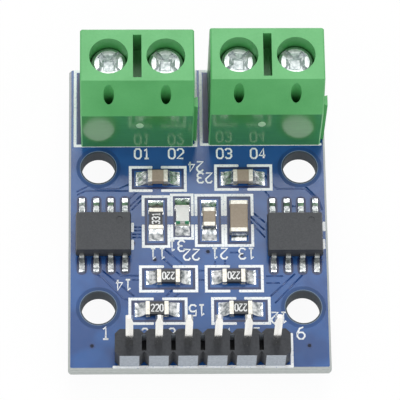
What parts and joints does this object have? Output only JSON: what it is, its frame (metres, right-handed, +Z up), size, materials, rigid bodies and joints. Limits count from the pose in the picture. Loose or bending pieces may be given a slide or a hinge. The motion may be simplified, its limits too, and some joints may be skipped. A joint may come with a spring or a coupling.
{
  "type": "dc motor driver module",
  "caption": "Small circuit board that drives DC motors, with screw terminals along one edge, a pin header along the other and mounting holes.",
  "frame": {"origin": "centre of the four mounting holes, on the underside of the board", "axes": "+Z up through the board's component side, +X to the right along the pin header, +Y from the pin header towards the screw terminals"},
  "size_m": [0.023, 0.0293, 0.0135],
  "materials": {
    "board": "blue solder mask, glossy, with pale sawn edges",
    "housing_plastic": "green moulded, semi-gloss",
    "screw_steel": "nickel plated",
    "clamp_steel": "zinc plated",
    "contact_metal": "tin plated",
    "header_plastic": "black moulded",
    "pin_metal": "tin plated",
    "driver_resin": "matt moulded resin",
    "lead_metal": "tin plated",
    "resistor_body": "glazed",
    "cap_metal": "tin plated, satin",
    "capacitor_ceramic": "fired ceramic",
    "lamp_base": "pale laminate",
    "lamp_lens": "clear resin",
    "solder": "bright solder"
  },
  "bodies": {
    "module": {"capacitor_1_body": "capacitor_ceramic", "capacitor_1_end_caps": "cap_metal", "capacitor_2_body": "capacitor_ceramic", "capacitor_2_end_caps": "cap_metal", "capacitor_3_body": "capacitor_ceramic", "capacitor_3_end_caps": "cap_metal", "capacitor_4_body": "capacitor_ceramic", "capacitor_4_end_caps": "cap_metal", "chip_solder": "solder", "circuit_board": "board", "driver_solder": "solder", "header_base": "header_plastic", "header_pin_1": "pin_metal", "header_pin_2": "pin_metal", "header_pin_3": "pin_metal", "header_pin_4": "pin_metal", "header_pin_5": "pin_metal", "header_pin_6": "pin_metal", "header_solder": "solder", "lamp_base": "lamp_base", "lamp_end_caps": "cap_metal", "lamp_lens": "lamp_lens", "left_driver_body": "driver_resin", "left_driver_leads": "lead_metal", "left_terminal_housing": "housing_plastic", "resistor_1_body": "resistor_body", "resistor_1_end_caps": "cap_metal", "resistor_2_body": "resistor_body", "resistor_2_end_caps": "cap_metal", "resistor_3_body": "resistor_body", "resistor_3_end_caps": "cap_metal", "resistor_4_body": "resistor_body", "resistor_4_end_caps": "cap_metal", "resistor_5_body": "resistor_body", "resistor_5_end_caps": "cap_metal", "right_driver_body": "driver_resin", "right_driver_leads": "lead_metal", "right_terminal_housing": "housing_plastic", "terminal_contact_1": "contact_metal", "terminal_contact_2": "contact_metal", "terminal_contact_3": "contact_metal", "terminal_contact_4": "contact_metal", "terminal_solder": "solder"},
    "screw_1": {"terminal_screw_1": "screw_steel"},
    "clamp_1": {"terminal_clamp_1": "clamp_steel"},
    "screw_2": {"terminal_screw_2": "screw_steel"},
    "clamp_2": {"terminal_clamp_2": "clamp_steel"},
    "screw_3": {"terminal_screw_3": "screw_steel"},
    "clamp_3": {"terminal_clamp_3": "clamp_steel"},
    "screw_4": {"terminal_screw_4": "screw_steel"},
    "clamp_4": {"terminal_clamp_4": "clamp_steel"}
  },
  "joints": [
    {"name": "screw_1_turn", "type": "hinge", "parent": "module", "child": "screw_1", "pos_m": [-0.00803, 0.01293, 0.0088], "axis": [0, 0, -1], "range_deg": [0, 1282]},
    {"name": "clamp_1_rise", "type": "slide", "parent": "module", "child": "clamp_1", "axis": [0, 0, 1], "range_m": [0, 0.0016]},
    {"name": "screw_2_turn", "type": "hinge", "parent": "module", "child": "screw_2", "pos_m": [-0.00303, 0.01293, 0.0088], "axis": [0, 0, -1], "range_deg": [0, 1282]},
    {"name": "clamp_2_rise", "type": "slide", "parent": "module", "child": "clamp_2", "axis": [0, 0, 1], "range_m": [0, 0.0016]},
    {"name": "screw_3_turn", "type": "hinge", "parent": "module", "child": "screw_3", "pos_m": [0.00337, 0.01305, 0.0088], "axis": [0, 0, -1], "range_deg": [0, 1282]},
    {"name": "clamp_3_rise", "type": "slide", "parent": "module", "child": "clamp_3", "axis": [0, 0, 1], "range_m": [0, 0.0016]},
    {"name": "screw_4_turn", "type": "hinge", "parent": "module", "child": "screw_4", "pos_m": [0.00837, 0.01305, 0.0088], "axis": [0, 0, -1], "range_deg": [0, 1282]},
    {"name": "clamp_4_rise", "type": "slide", "parent": "module", "child": "clamp_4", "axis": [0, 0, 1], "range_m": [0, 0.0016]}
  ],
  "couplings": [
    {"joint": "screw_1_turn", "follows": "clamp_1_rise", "rad_per_m": 13963},
    {"joint": "screw_2_turn", "follows": "clamp_2_rise", "rad_per_m": 13963},
    {"joint": "screw_3_turn", "follows": "clamp_3_rise", "rad_per_m": 13963},
    {"joint": "screw_4_turn", "follows": "clamp_4_rise", "rad_per_m": 13963}
  ]
}
